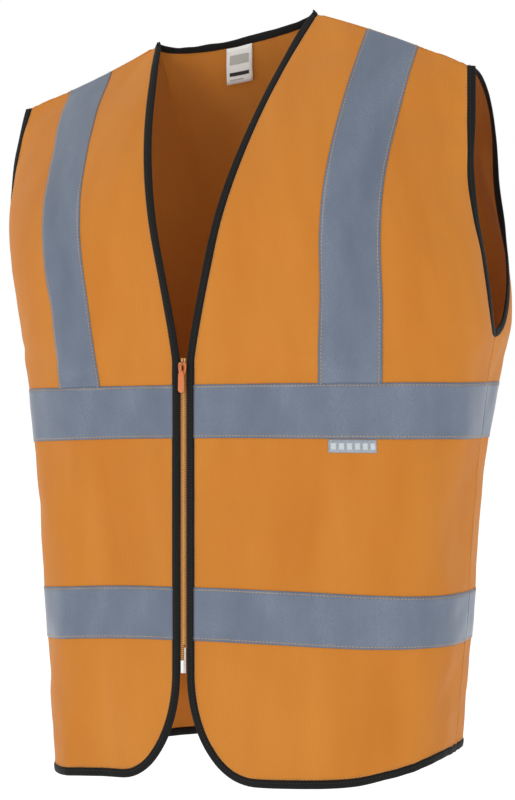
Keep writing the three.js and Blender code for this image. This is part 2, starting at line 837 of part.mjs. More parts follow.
function addFront(side, word) {
  const grid = frontGrid(side);
  const { tapeInner, tapeOuter, side: last } = columnsOf(frontForm);
  const edge = frontEdgeStrip(grid, side);
  const armhole = armholeStrip(grid[last], grid[last - 1], side);
  add(`front_panel_${word}`, slab(panel(grid, [edge, armhole]), 0, clothThickness), 'cloth');
  addTape(`upper_band_front_${word}`, grid, 0, last, rowOf.upperTapeBottom, rowOf.upperTapeTop);
  addTape(`lower_band_front_${word}`, grid, 0, last, rowOf.lowerTapeBottom, rowOf.lowerTapeTop);
  addTape(`shoulder_tape_front_${word}`, grid, tapeInner, tapeOuter, rowOf.upperTapeTop, rowOf.seam);
  add(`front_edge_binding_${word}`, binding(edge), 'binding');
  add(`armhole_binding_front_${word}`, binding(armhole), 'binding');
  if (side > 0) {
    addTape('chest_tab', grid, tapeInner, tapeOuter, rowOf.badgeBottom, rowOf.upperTapeBottom, 'plastic');
  }
}

function addBack() {
  const grid = backGrid();
  const { tapeInner, tapeOuter, side: middle } = columnsOf(backForm);
  const last = 2 * middle;
  const hem = backHemStrip(grid);
  const neck = backNeckStrip(grid);
  const rightArmhole = armholeStrip(grid[0], grid[1], -1);
  const leftArmhole = armholeStrip(grid[last], grid[last - 1], 1);
  const strips = [hem, neck, rightArmhole, leftArmhole];
  add('back_panel', slab(panel(grid, strips), 0, clothThickness), 'cloth');
  addTape('upper_band_back', grid, 0, last, rowOf.upperTapeBottom, rowOf.upperTapeTop);
  addTape('lower_band_back', grid, 0, last, rowOf.lowerTapeBottom, rowOf.lowerTapeTop);
  const leftRows = [rowOf.upperTapeTop, rowOf.seam];
  addTape('shoulder_tape_back_left', grid, middle + tapeInner, middle + tapeOuter, ...leftRows);
  addTape('shoulder_tape_back_right', grid, middle - tapeOuter, middle - tapeInner, ...leftRows);
  add('neck_binding_back', binding(neck), 'binding');
  add('hem_binding_back', binding(hem), 'binding');
  add('armhole_binding_back_right', binding(rightArmhole), 'binding');
  add('armhole_binding_back_left', binding(leftArmhole), 'binding');
}

function addZipSide(side, word) {
  add(`zip_tape_${word}`, zipTape(side), 'zip');
  add(`zip_teeth_${word}`, toothComb(side), 'zip');
  add(`zip_top_stop_${word}`, topStop(side), 'zip');
}

addBack();
addFront(1, 'left');
addFront(-1, 'right');
addZipSide(1, 'left');
addZipSide(-1, 'right');
add('zip_slider', zipSlider(), 'enamel');
add('zip_pull_tab', pullTab(), 'enamel');
add('zip_retainer_box', retainerBox(), 'plastic');
add('zip_insertion_pin', insertionPin(), 'plastic');
add('neck_label', neckLabel(), 'label');

export default vest;
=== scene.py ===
import math

import bmesh
import bpy
import numpy as np
from mathutils import Matrix, Vector


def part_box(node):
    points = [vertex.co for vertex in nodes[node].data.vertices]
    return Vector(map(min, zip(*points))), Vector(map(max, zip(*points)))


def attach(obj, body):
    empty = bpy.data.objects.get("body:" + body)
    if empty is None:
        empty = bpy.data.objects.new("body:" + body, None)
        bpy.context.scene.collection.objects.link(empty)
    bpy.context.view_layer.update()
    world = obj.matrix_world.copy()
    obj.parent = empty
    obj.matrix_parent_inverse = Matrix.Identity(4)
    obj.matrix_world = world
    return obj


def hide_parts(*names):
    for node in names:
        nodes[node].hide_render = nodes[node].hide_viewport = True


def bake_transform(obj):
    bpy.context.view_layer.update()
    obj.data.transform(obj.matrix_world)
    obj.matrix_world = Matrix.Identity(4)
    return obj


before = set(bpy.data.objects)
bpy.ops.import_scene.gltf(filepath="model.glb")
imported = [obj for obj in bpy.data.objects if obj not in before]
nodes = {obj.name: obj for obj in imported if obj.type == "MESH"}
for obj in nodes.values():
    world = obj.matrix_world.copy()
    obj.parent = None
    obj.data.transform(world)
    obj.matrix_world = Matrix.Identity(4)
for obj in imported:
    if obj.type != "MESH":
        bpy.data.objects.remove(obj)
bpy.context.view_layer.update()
scene = bpy.context.scene
print("frame loaded")

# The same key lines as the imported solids, in millimetres
pattern = {
    "neckHalf": 80, "shoulderHalf": 243, "shoulderDrop": 62, "underarm": 300, "hem": 722, "backHemRise": 12,
    "topHalf": 248, "chestHalf": 242, "hemHalf": 205, "waistPull": 60,
    "backNeckDrop": 7, "neckPoint": 326, "neckFlare": 1.15,
    "frontDepth": 114, "frontCrown": 220, "backChestDepth": 110, "backHemDepth": 94, "waist": 420,
    "backCrownNeck": 200, "backCrownTip": 65, "frontSquare": 3, "backSquare": 4, "backHemSquare": 2.8,
    "opening": 3.3, "cornerWidth": 66, "cornerHeight": 102, "cornerSplit": 50, "binding": 7, "tape": 50,
    "upperTape": 349, "lowerTape": 539, "tab": 14, "tapeX": 126, "rightTapeX": 98, "tapeAtSeam": 138,
    "armholeFlat": 0.62, "armholeHang": 0.42, "frontSwing": 1.25, "backSwing": 1.02, "underarmDip": 14,
}
hang = {
    "leanTop": 0.035, "leanBelow": 0.02, "neckTwist": 8, "sideDip": 8, "dipStart": 250, "dipFull": 550,
    "swayTop": 6, "swayBelow": 27, "swayStart": 150, "leftHemRise": 30, "riseStart": 560,
}
# Soft folds pressed into the cloth before it settles: side, centre x, width, from z, to z, depth
folds = [
    (-1, 66, 40, -60, -700, 7.0),
    (-1, 120, 16, -440, -600, 3.2),
    (-1, 150, 20, -520, -722, -3.4),
    (-1, 95, 18, -590, -722, 2.6),
    (1, 172, 15, -560, -722, 4.2),
    (1, 120, 22, -400, -560, 2.2),
    (1, 60, 26, -60, -330, 2.6),
    (1, 205, 16, -300, -430, 3.0),
    (1, 78, 24, -600, -722, -2.4),
]
frontColumns = {"inner": 4, "outer": 6, "side": 11}
backColumns = {"neck": 6, "inner": 7, "outer": 9, "side": 14}
rows = {"lowerTapeBottom": 5, "lowerTapeTop": 6, "tabBottom": 9, "upperTapeBottom": 10, "upperTapeTop": 11,
        "underarm": 13, "seam": 22}


def mix(a, b, share):
    return a + (b - a) * share


def ease(value, low, high):
    share = min(1.0, max(0.0, (value - low) / (high - low)))
    return share * share * (3 - 2 * share)


def halfWidthAt(z):
    share = (-z - pattern["underarm"]) / (pattern["hem"] - pattern["underarm"])
    pull = pattern["waistPull"] * max(0, share) * math.exp(-3 * share)
    return min(mix(pattern["chestHalf"], pattern["hemHalf"], share), pattern["topHalf"]) - pull


def swayAt(x, z):
    amount = mix(hang["swayTop"], hang["swayBelow"], ease(-z, hang["swayStart"], pattern["underarm"]))
    return amount * (x / halfWidthAt(z)) ** 2


def seamHeightAt(x):
    slope = pattern["shoulderDrop"] / (pattern["shoulderHalf"] - pattern["neckHalf"])
    return -slope * max(0, abs(x) - pattern["neckHalf"])


def liftAt(x, z):
    high = 1 - ease(-z, 0, pattern["underarm"])
    twist = hang["neckTwist"] * high * math.sin(math.pi * x / pattern["shoulderHalf"])
    dip = hang["sideDip"] * ease(-z, hang["dipStart"], hang["dipFull"]) * (x / halfWidthAt(z)) ** 2
    rise = hang["leftHemRise"] * ease(-z, hang["riseStart"], pattern["hem"]) * max(0, x / halfWidthAt(z)) ** 5
    return mix(hang["leanBelow"], hang["leanTop"], high) * x + twist - dip + rise


def foldAt(x, z):
    total = 0
    for side, centre, width, top, bottom, depth in folds:
        if x * side > 0 and bottom <= z <= top:
            reach = abs(top - bottom)
            fade = min(1, (top - z) / (0.35 * reach))
            if bottom > -pattern["hem"]:
                fade = min(fade, (z - bottom) / (0.35 * reach))
            total += depth * ease(fade, 0, 1) * math.exp(-(((x * side - centre) / width) ** 2)) * ease(x * side, 15, 45)
    return total


def squareness(back, z):
    if not back:
        return pattern["frontSquare"]
    return mix(pattern["backSquare"], pattern["backHemSquare"], ease(-z, pattern["underarm"], pattern["waist"]))


def planRadius(back, angle, z):
    power = squareness(back, z)
    return (abs(math.sin(angle)) ** power + abs(math.cos(angle)) ** power) ** (-1 / power)


def crownAt(back, x, fall):
    if not back:
        return math.sin(math.pi / 2 * min(fall / pattern["frontCrown"], 1))
    slanted = math.sin(math.pi / 2 * min(fall / pattern["backCrownNeck"], 1))
    rounded = math.sqrt(1 - (1 - min(fall / pattern["backCrownTip"], 1)) ** 2)
    return mix(slanted, rounded, ease(abs(x), pattern["neckHalf"], pattern["shoulderHalf"]))


# A point of the hanging vest at an angle round the body: 0 in the middle, a right angle at the side seam
def hangPoint(back, angle, z):
    radius = planRadius(back, angle, z)
    x = halfWidthAt(z) * math.sin(angle) * radius
    fall = max(0, seamHeightAt(x) - z)
    depth = pattern["frontDepth"]
    if back:
        depth = mix(pattern["backChestDepth"], pattern["backHemDepth"], ease(-z, pattern["underarm"], pattern["waist"]))
    y = (1 if back else -1) * depth * math.cos(angle) * radius * crownAt(back, x, fall)
    fold = 0 if back else foldAt(x, z) * min(1, 2 * math.cos(angle))
    return Vector((x + swayAt(x, z), y + fold, z + liftAt(x, z)))


def widthAt(back, angle, z):
    return halfWidthAt(z) * math.sin(angle) * planRadius(back, angle, z)


def angleAt(back, x, z):
    share = abs(x) / halfWidthAt(z)
    if share >= 1:
        return math.copysign(math.pi / 2, x)
    if share == 0:
        return 0
    power = squareness(back, z)
    return math.copysign(math.atan2(1, (share ** -power - 1) ** (1 / power)), x)


def seamPoint(x):
    return hangPoint(False, angleAt(False, x, seamHeightAt(x)), seamHeightAt(x))


def heightAt(back, row, top, dip):
    low = -(pattern["underarm"] + pattern["binding"] + dip)
    climbed = row - rows["upperTapeTop"]
    under = rows["underarm"] - rows["upperTapeTop"]
    if climbed <= under:
        return mix(-pattern["upperTape"], low, climbed / under)
    share = (climbed - under) / (rows["seam"] - rows["underarm"])
    return mix(low, top, 1 - (1 - share) ** (2 if back else 1.35))


def riseAt(z, top):
    return (z + pattern["upperTape"]) / (top + pattern["upperTape"])


def sidePlan(back, row):
    if row <= rows["underarm"]:
        return Vector((math.pi / 2, heightAt(back, row, 0, 0)))
    low = -(pattern["underarm"] + pattern["binding"])
    tipX = pattern["shoulderHalf"] - pattern["binding"]
    tip = angleAt(back, tipX, seamHeightAt(tipX))
    swing = pattern["backSwing"] if back else pattern["frontSwing"]
    curve = [
        Vector((math.pi / 2, low)),
        Vector((mix(math.pi / 2, tip, pattern["armholeFlat"]), low)),
        Vector((tip * swing, mix(low, -pattern["shoulderDrop"], pattern["armholeHang"]))),
        Vector((tip, seamHeightAt(tipX))),
    ]
    share = (row - rows["underarm"]) / (rows["seam"] - rows["underarm"])
    share = 1 - (1 - share) ** (2 if back else 1.35)
    while len(curve) > 1:
        curve = [a.lerp(b, share) for a, b in zip(curve, curve[1:])]
    return curve[0]


def tapePlan(back, row, lowX, seamX):
    top = seamHeightAt(seamX)
    z = heightAt(back, row, top, pattern["underarmDip"])
    return Vector((angleAt(back, mix(lowX, seamX, riseAt(z, top)), z), z))


def neckPlan(row):
    z = heightAt(False, row, 0, pattern["underarmDip"])
    openness = max(0, 1 + z / pattern["neckPoint"]) ** pattern["neckFlare"]
    x = pattern["opening"] + pattern["binding"] + (pattern["neckHalf"] - pattern["opening"]) * openness
    return Vector((angleAt(False, x, z), z))


def backMiddlePlan(row, column):
    turn = math.pi / 2 * column / backColumns["neck"]
    neckX = pattern["neckHalf"] + pattern["binding"]
    top = mix(-pattern["backNeckDrop"] - pattern["binding"], seamHeightAt(neckX), 1 - math.cos(turn))
    z = heightAt(True, row, top, pattern["underarmDip"])
    x = mix(pattern["tapeX"] * column / backColumns["inner"], neckX * math.sin(turn), riseAt(z, top))
    return Vector((angleAt(True, x, z), z))


def upperPlan(back, row, column, tapeX):
    key = backColumns if back else frontColumns
    inner = tapePlan(back, row, tapeX, pattern["tapeAtSeam"])
    outer = tapePlan(back, row, tapeX + pattern["tape"], pattern["tapeAtSeam"] + pattern["tape"])
    if column >= key["outer"]:
        return outer.lerp(sidePlan(back, row), (column - key["outer"]) / (key["side"] - key["outer"]))
    if column >= key["inner"]:
        return inner.lerp(outer, (column - key["inner"]) / (key["outer"] - key["inner"]))
    if not back:
        return neckPlan(row).lerp(inner, column / key["inner"])
    if column > key["neck"]:
        return backMiddlePlan(row, key["neck"]).lerp(inner, column - key["neck"])
    return backMiddlePlan(row, column)


def cornerEdge(degrees):
    turn = math.radians(degrees)
    x = pattern["opening"] + pattern["binding"] + (pattern["cornerWidth"] - pattern["binding"]) * (1 - math.cos(turn))
    z = -pattern["hem"] + pattern["binding"] + (pattern["cornerHeight"] - pattern["binding"]) * (1 - math.sin(turn))
    return Vector((x, z))


# The rounded lower corner of a front, blended into the rows above and the columns beside it
def cornerPoint(across, up, tapeX):
    top = -(pattern["lowerTape"] + pattern["tape"])
    hem = -pattern["hem"] + pattern["binding"]

    def leftEdge(share):
        if share < 0.8:
            return cornerEdge(pattern["cornerSplit"] * (1 - share / 0.8))
        return Vector((cornerEdge(0).x, mix(cornerEdge(0).y, top, (share - 0.8) / 0.2)))

    if across < 0.5:
        bottom = cornerEdge(mix(pattern["cornerSplit"], 90, across / 0.5))
    else:
        bottom = Vector((mix(cornerEdge(90).x, tapeX, (across - 0.5) / 0.5), hem))
    right = Vector((tapeX, mix(hem, top, up)))
    upper = Vector((mix(leftEdge(1).x, tapeX, across), top))
    sides = leftEdge(up).lerp(right, across) + bottom.lerp(upper, up)
    low = leftEdge(0).lerp(Vector((tapeX, hem)), across)
    high = leftEdge(1).lerp(Vector((tapeX, top)), across)
    return sides - low.lerp(high, up)


def lowerPlan(back, row, column, tapeX):
    key = backColumns if back else frontColumns
    if row < rows["lowerTapeBottom"] and not back and column < key["inner"]:
        corner = cornerPoint(column / key["inner"], row / rows["lowerTapeBottom"], tapeX)
        return Vector((angleAt(back, corner.x, corner.y), corner.y))
    hem = -pattern["hem"] + pattern["binding"]
    if back:
        hem += pattern["backHemRise"] * math.cos(math.pi / 2 * column / key["side"])
    lowerTop = -pattern["lowerTape"]
    upperBottom = -(pattern["upperTape"] + pattern["tape"])
    levels = [hem, lowerTop - pattern["tape"], lowerTop, upperBottom - pattern["tab"], upperBottom,
              -pattern["upperTape"]]
    z = float(np.interp(row, [0, *list(rows.values())[:5]], levels))
    inner = angleAt(back, tapeX, z)
    outer = angleAt(back, tapeX + pattern["tape"], z)
    if column >= key["outer"]:
        angle = mix(outer, math.pi / 2, (column - key["outer"]) / (key["side"] - key["outer"]))
    elif column >= key["inner"]:
        angle = mix(inner, outer, (column - key["inner"]) / (key["outer"] - key["inner"]))
    else:
        edge = 0 if back else angleAt(back, pattern["opening"] + pattern["binding"], z)
        angle = mix(edge, inner, column / key["inner"])
    return Vector((angle, z))


def gridPoint(back, side, row, column):
    tapeX = pattern["rightTapeX"] if side < 0 and not back else pattern["tapeX"]
    plan = (upperPlan if row > rows["upperTapeTop"] else lowerPlan)(back, row, column, tapeX)
    x = widthAt(back, plan.x, plan.y)
    if row == rows["seam"] and x > pattern["neckHalf"] + pattern["binding"] - 0.3:
        return seamPoint(side * x)
    return hangPoint(back, side * plan.x, plan.y)


# Every sewn piece is taken from these settled grids
cloth = {
    "thickness": 0.0006, "excess": 0.007, "cap": 0.006, "frames": 26, "massPerCell": 0.00001,
    "tension": 12, "bending": 1.2, "gravity": 0.35, "finer": 2, "lift": 0.0004,
}


hold = {"loose": 0.02, "taped": 0.12, "hem": 0.35, "besideEdge": 0.4}  # 1 is sewn fast
bandRows = {"upper": (10, 11), "lower": (5, 6)}


def stretches(*parts):
    values = [parts[0][0]]
    for low, high, count in parts:
        values += list(np.linspace(low, high, count + 1)[1:])
    return values


rowValues = stretches((0, 5, 16), (5, 6, 6), (6, 9, 14), (9, 10, 2), (10, 11, 6), (11, 13, 6), (13, 22, 32))
frontValues = stretches((0, 4, 12), (4, 6, 6), (6, 11, 12))
backHalf = stretches((0, 6, 12), (6, 7, 2), (7, 9, 6), (9, 14, 12))
backValues = [-c for c in reversed(backHalf[1:])] + backHalf


def restGrid(back, side):
    columns = backValues if back else frontValues
    grid = np.zeros((len(columns), len(rowValues), 3))
    for i, column in enumerate(columns):
        for j, row in enumerate(rowValues):
            facing = (1 if column >= 0 else -1) if back else side
            grid[i, j] = gridPoint(back, facing, row, abs(column))
    return grid / 1000


def gridMesh(name, positions):
    across, up = positions.shape[:2]
    bm = bmesh.new()
    bmesh.ops.create_grid(bm, x_segments=across - 1, y_segments=up - 1, size=1)
    ordered = positions.transpose(1, 0, 2).reshape(-1, 3)
    for vert, place in zip(bm.verts, ordered):
        vert.co = place
    mesh = bpy.data.meshes.new(name)
    bm.to_mesh(mesh)
    bm.free()
    obj = bpy.data.objects.new(name, mesh)
    scene.collection.objects.link(obj)
    return obj


# The cloth is cut a little large, held where it is sewn, and left to settle into soft folds
def settle(name, rest, holdWeights):
    obj = gridMesh(name + "Settling", rest)
    held = obj.vertex_groups.new(name="held")
    for index, weight in enumerate(holdWeights.T.reshape(-1)):
        held.add([index], float(weight), "REPLACE")
    modifier = obj.modifiers.new("Cloth", "CLOTH")
    settings = modifier.settings
    settings.quality = 6
    settings.mass = cloth["massPerCell"]
    settings.tension_stiffness = settings.compression_stiffness = cloth["tension"]
    settings.shear_stiffness = 5
    settings.bending_stiffness = cloth["bending"]
    settings.shrink_min = -cloth["excess"]
    settings.vertex_group_mass = "held"
    settings.pin_stiffness = 1
    settings.effector_weights.gravity = cloth["gravity"]
    modifier.point_cache.frame_start = 1
    modifier.point_cache.frame_end = cloth["frames"]
    for step in range(1, cloth["frames"] + 1):
        scene.frame_set(step)
    evaluated = obj.evaluated_get(bpy.context.evaluated_depsgraph_get())
    flat = np.zeros(len(obj.data.vertices) * 3)
    evaluated.data.vertices.foreach_get("co", flat)
    across, up = rest.shape[:2]
    settled = flat.reshape(up, across, 3).transpose(1, 0, 2)
    bpy.data.objects.remove(obj)
    move = settled - rest
    length = np.linalg.norm(move, axis=2, keepdims=True)
    cap = cloth["cap"]
    move = move * cap * np.tanh(length / cap) / np.maximum(length, 1e-9)
    for _ in range(2):
        inner = move[1:-1, 1:-1]
        around = move[:-2, 1:-1] + move[2:, 1:-1] + move[1:-1, :-2] + move[1:-1, 2:]
        move[1:-1, 1:-1] = 0.5 * inner + 0.125 * around
    print(name, "settled, moved at most", round(float(np.abs(move).max() * 1000), 1), "mm")
    return rest + move


def holdFor(back, columns):
    weights = np.full((len(columns), len(rowValues)), hold["loose"])
    rowsNow = np.array(rowValues)
    colsNow = np.abs(np.array(columns))
    for low, high in bandRows.values():
        weights[:, (rowsNow >= low) & (rowsNow <= high)] = hold["taped"]
    weights[:, -1] = 1
    weights[colsNow == colsNow.max(), :] = 1
    weights[:, 0] = np.maximum(weights[:, 0], hold["hem"])
    if not back:
        weights[0, :] = 1
        weights[1, :] = hold["besideEdge"]
    return weights


# A settled grid that can be read anywhere between its columns and rows
class Sewn:
    def __init__(self, columns, rest, settled, facing, body):
        self.columns, self.rest, self.settled = columns, rest, settled
        self.facing, self.body = facing, body

    def at(self, column, row, rest=False):
        column, row = np.broadcast_arrays(np.asarray(column, float), np.asarray(row, float))
        u = np.interp(column, self.columns, np.arange(len(self.columns)))
        v = np.interp(row, rowValues, np.arange(len(rowValues)))
        return curved(self.rest if rest else self.settled, u, v)

    # Outward direction of the cloth
    def outward(self, column, row):
        step = 0.02
        low, high = self.columns[0], self.columns[-1]
        left, right = np.clip(column - step, low, high), np.clip(column + step, low, high)
        down, up = np.clip(row - step, 0, rows["seam"]), np.clip(row + step, 0, rows["seam"])
        across = self.at(right, row) - self.at(left, row)
        along = self.at(column, up) - self.at(column, down)
        normal = np.cross(across, along)
        normal /= np.maximum(np.linalg.norm(normal, axis=-1, keepdims=True), 1e-12)
        return normal * self.facing


# Cubic reading of a grid between its points
def curved(grid, u, v):
    def weights(t):
        return np.stack([-0.5 * t + t**2 - 0.5 * t**3, 1 - 2.5 * t**2 + 1.5 * t**3,
                         0.5 * t + 2 * t**2 - 1.5 * t**3, -0.5 * t**2 + 0.5 * t**3], -1)

    padded = np.pad(grid, ((1, 1), (1, 1), (0, 0)))
    padded[0, :], padded[-1, :] = 2 * padded[1, :] - padded[2, :], 2 * padded[-2, :] - padded[-3, :]
    padded[:, 0], padded[:, -1] = 2 * padded[:, 1] - padded[:, 2], 2 * padded[:, -2] - padded[:, -3]
    i = np.clip(np.floor(u).astype(int), 0, grid.shape[0] - 2)
    j = np.clip(np.floor(v).astype(int), 0, grid.shape[1] - 2)
    wu, wv = weights(u - i), weights(v - j)
    out = 0
    for a in range(4):
        for b in range(4):
            out = out + (wu[..., a] * wv[..., b])[..., None] * padded[i + a, j + b]
    return out


panels = {}
bodies = {"back": ("back", 1, -1), "left": ("front_left", 1, 1), "right": ("front_right", -1, -1)}
for where, (body, side, facing) in bodies.items():
    isBack = where == "back"
    columns = backValues if isBack else frontValues
    rest = restGrid(isBack, side)
    settled = settle(where, rest, holdFor(isBack, columns))
    panels[where] = Sewn(columns, rest, settled, facing, body)
print("cloth settled")


# A piece of the back rides on it; one of a front has its place baked into its mesh
def carry(obj, where):
    if where == "back":
        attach(obj, "back")
    else:
        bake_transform(obj)


def smooth(obj):
    obj.data.polygons.foreach_set("use_smooth", [True] * len(obj.data.polygons))
    obj.data.update()


def finishMesh(bm, name, material):
    mesh = bpy.data.meshes.new(name)
    bm.to_mesh(mesh)
    bm.free()
    mesh.materials.append(material)
    obj = bpy.data.objects.new(name, mesh)
    scene.collection.objects.link(obj)
    smooth(obj)
    return obj


# A patch of a panel between columns and rows, lifted off the cloth, with its own map in metres
def patch(name, where, columnSamples, rowSamples, lift, material):
    panel = panels[where]
    column, row = columnSamples, rowSamples
    if np.ndim(columnSamples) == 1:
        column, row = np.meshgrid(columnSamples, rowSamples, indexing="ij")
    place = panel.at(column, row) + panel.outward(column, row) * lift
    flat = panel.at(column, row, rest=True)
    du = np.linalg.norm(np.diff(flat, axis=0), axis=2)
    dv = np.linalg.norm(np.diff(flat, axis=1), axis=2)
    u = np.vstack([np.zeros((1, flat.shape[1])), np.cumsum(du, axis=0)])
    v = np.hstack([np.zeros((flat.shape[0], 1)), np.cumsum(dv, axis=1)])
    u = u - u[len(u) // 2] if where == "back" else u - u[-1]
    v = v - v[:, -1:]
    obj = gridMesh(name, place)
    mesh = obj.data
    layer = mesh.uv_layers.new(name="cloth")
    index = np.zeros(len(mesh.loops), int)
    mesh.loops.foreach_get("vertex_index", index)
    pair = np.stack([u.T.reshape(-1), v.T.reshape(-1)], 1)[index]
    layer.data.foreach_set("uv", pair.reshape(-1))
    if panel.facing < 0:
        mesh.flip_normals()
    mesh.materials.append(material)
    smooth(obj)
    return obj


def thicken(obj, thickness):
    solid = obj.modifiers.new("Thickness", "SOLIDIFY")
    solid.thickness = thickness
    solid.offset = 0


def flatArea(where, columnSamples, rowSamples):
    flat = panels[where].at(*np.meshgrid(columnSamples, rowSamples, indexing="ij"), rest=True)
    a, b = flat[1:, 1:] - flat[:-1, :-1], flat[:-1, 1:] - flat[1:, :-1]
    return float(np.linalg.norm(np.cross(a, b), axis=2).sum() / 2)


def extent(where, columnSamples, rowSamples):
    flat = panels[where].at(*np.meshgrid(columnSamples, rowSamples, indexing="ij"), rest=True)
    width = np.linalg.norm(np.diff(flat, axis=0), axis=2).sum(axis=0).max()
    height = np.linalg.norm(np.diff(flat, axis=1), axis=2).sum(axis=1).max()
    return float(width), float(height)


def finer(values, count):
    values = np.asarray(values, float)
    return np.interp(np.linspace(0, len(values) - 1, (len(values) - 1) * count + 1), np.arange(len(values)), values)


# A closed strip that follows a line of the cloth: its section is (across, off the cloth) in metres
def sweep(name, line, across, outward, section, material):
    bm = bmesh.new()
    bmesh.ops.create_grid(bm, x_segments=len(line) - 1, y_segments=len(section), size=1)
    placed = [line + across * a + outward * b for a, b in section + section[:1]]
    for vert, place in zip(bm.verts, np.concatenate(placed)):
        vert.co = place
    bmesh.ops.remove_doubles(bm, verts=bm.verts, dist=1e-7)
    bmesh.ops.holes_fill(bm, edges=[e for e in bm.edges if e.is_boundary], sides=0)
    bmesh.ops.recalc_face_normals(bm, faces=bm.faces)
    return finishMesh(bm, name, material)


# A line of the cloth, its direction towards the inside of the panel, and its outward direction
def lineOf(where, columnSamples, rowSamples, inward):
    panel = panels[where]
    column, row = np.asarray(columnSamples, float), np.asarray(rowSamples, float)
    line = panel.at(column, row)
    outward = panel.outward(column, row)
    along = np.gradient(line, axis=0)
    along /= np.linalg.norm(along, axis=1, keepdims=True)
    across = np.cross(along, outward)
    low, high = panel.columns[0], panel.columns[-1]
    inside = np.clip(column + inward[0] * 0.1, low, high), np.clip(row + inward[1] * 0.1, 0, rows["seam"])
    probe = panel.at(*inside) - line
    flip = np.sign((across * probe).sum(axis=1).sum())
    return line, across * flip, outward


# The same line and directions, read at even steps along the line
def resample(arrays, spacing):
    travelled = np.concatenate([[0], np.cumsum(np.linalg.norm(np.diff(arrays[0], axis=0), axis=1))])
    whole = np.arange(len(arrays[0]))
    count = max(2, int(travelled[-1] / spacing) + 1)
    places = np.interp(np.linspace(0, travelled[-1], count), travelled, whole)
    return [np.stack([np.interp(places, whole, a[:, k]) for k in range(3)], 1) for a in arrays]



def linear(hexColour):
    parts = [int(hexColour[i:i + 2], 16) / 255 for i in (1, 3, 5)]
    return [c / 12.92 if c <= 0.04045 else ((c + 0.055) / 1.055) ** 2.4 for c in parts] + [1]


# Adds a node; an input is a socket to link, a hex colour or a value, and what it makes can feed a socket
def addNode(tree, kind, inputs=None, output=0, stops=(), feeds=None, **settings):
    node = tree.nodes.new(kind)
    for name, value in settings.items():
        setattr(node, name, value)
    for key, value in (inputs or {}).items():
        if isinstance(value, bpy.types.NodeSocket):
            tree.links.new(value, node.inputs[key])
        else:
            node.inputs[key].default_value = linear(value) if isinstance(value, str) else value
    for index, (position, colour) in enumerate(stops):
        node.color_ramp.elements[index].position, node.color_ramp.elements[index].color = position, linear(colour)
    if feeds:
        tree.links.new(node.outputs[output], feeds)
    return node.outputs[output]


def newMaterial(name, colour, roughness, **shader):
    material = bpy.data.materials.new(name)
    material.use_nodes = True
    principled = material.node_tree.nodes["Principled BSDF"]
    principled.inputs["Base Color"].default_value = linear(colour)
    principled.inputs["Roughness"].default_value = roughness
    for key, value in shader.items():
        principled.inputs[key].default_value = value
    return material, principled, material.node_tree


waveUnit = 0.31416  # a wave node's bands are this far apart at scale 1

# Warp-knitted polyester: wales run up the cloth, drawn 1.5 mm apart because the real 0.9 mm would not show
knit = {
    "colour": "#D48934", "shade": "#C77926", "valley": "#B16A20", "wale": 0.0015, "course": 0.0012, "roughness": 0.88,
}


def warpKnittedPolyester():
    material, shader, tree = newMaterial("Warp-knitted polyester", knit["colour"], knit["roughness"], **{
        "Sheen Weight": 0.12, "Sheen Roughness": 0.5, "Specular IOR Level": 0.25})
    uv = addNode(tree, "ShaderNodeTexCoord", output="UV")
    streaks = addNode(tree, "ShaderNodeMapping", {"Vector": uv, "Scale": (16, 3.5, 1)})
    cloud = addNode(tree, "ShaderNodeTexNoise", {"Vector": streaks, "Scale": 1.0, "Detail": 3.0}, "Fac")
    dyed = addNode(tree, "ShaderNodeValToRGB", {"Fac": cloud}, "Color", ((0.3, knit["shade"]), (0.7, knit["colour"])))
    wales = addNode(tree, "ShaderNodeTexWave", {"Vector": uv, "Scale": waveUnit / knit["wale"], "Distortion": 0.5,
                                                "Detail": 1.0}, "Fac", bands_direction="X")
    courses = addNode(tree, "ShaderNodeTexWave", {"Vector": uv, "Scale": waveUnit / knit["course"], "Distortion": 0.8,
                                                  "Detail": 1.0}, "Fac", bands_direction="Y")
    loops = addNode(tree, "ShaderNodeMath", {0: wales, 1: courses}, operation="MULTIPLY")
    share = addNode(tree, "ShaderNodeMath", {0: loops, 1: 0.55}, operation="ADD", use_clamp=True)
    addNode(tree, "ShaderNodeMix", {0: share, 6: knit["valley"], 7: dyed}, 2, feeds=shader.inputs["Base Color"],
            data_type="RGBA")
    addNode(tree, "ShaderNodeBump", {"Height": loops, "Strength": 0.4, "Distance": 0.0003}, "Normal",
            feeds=shader.inputs["Normal"])
    return material


# Glass-bead retroreflective tape: a grey face of tiny beads over a woven back, with the shade and light of soft creases
# painted across it
# dark and light bound the streaks of painted crease shade and painted crease highlight; dark also fills between the
# beads
tapeFinish = {
    "colour": "#707C8E", "dark": "#5F6A7C", "light": "#7F8A9B", "bead": 0.0009, "thread": 0.0011, "roughness": 0.42,
}


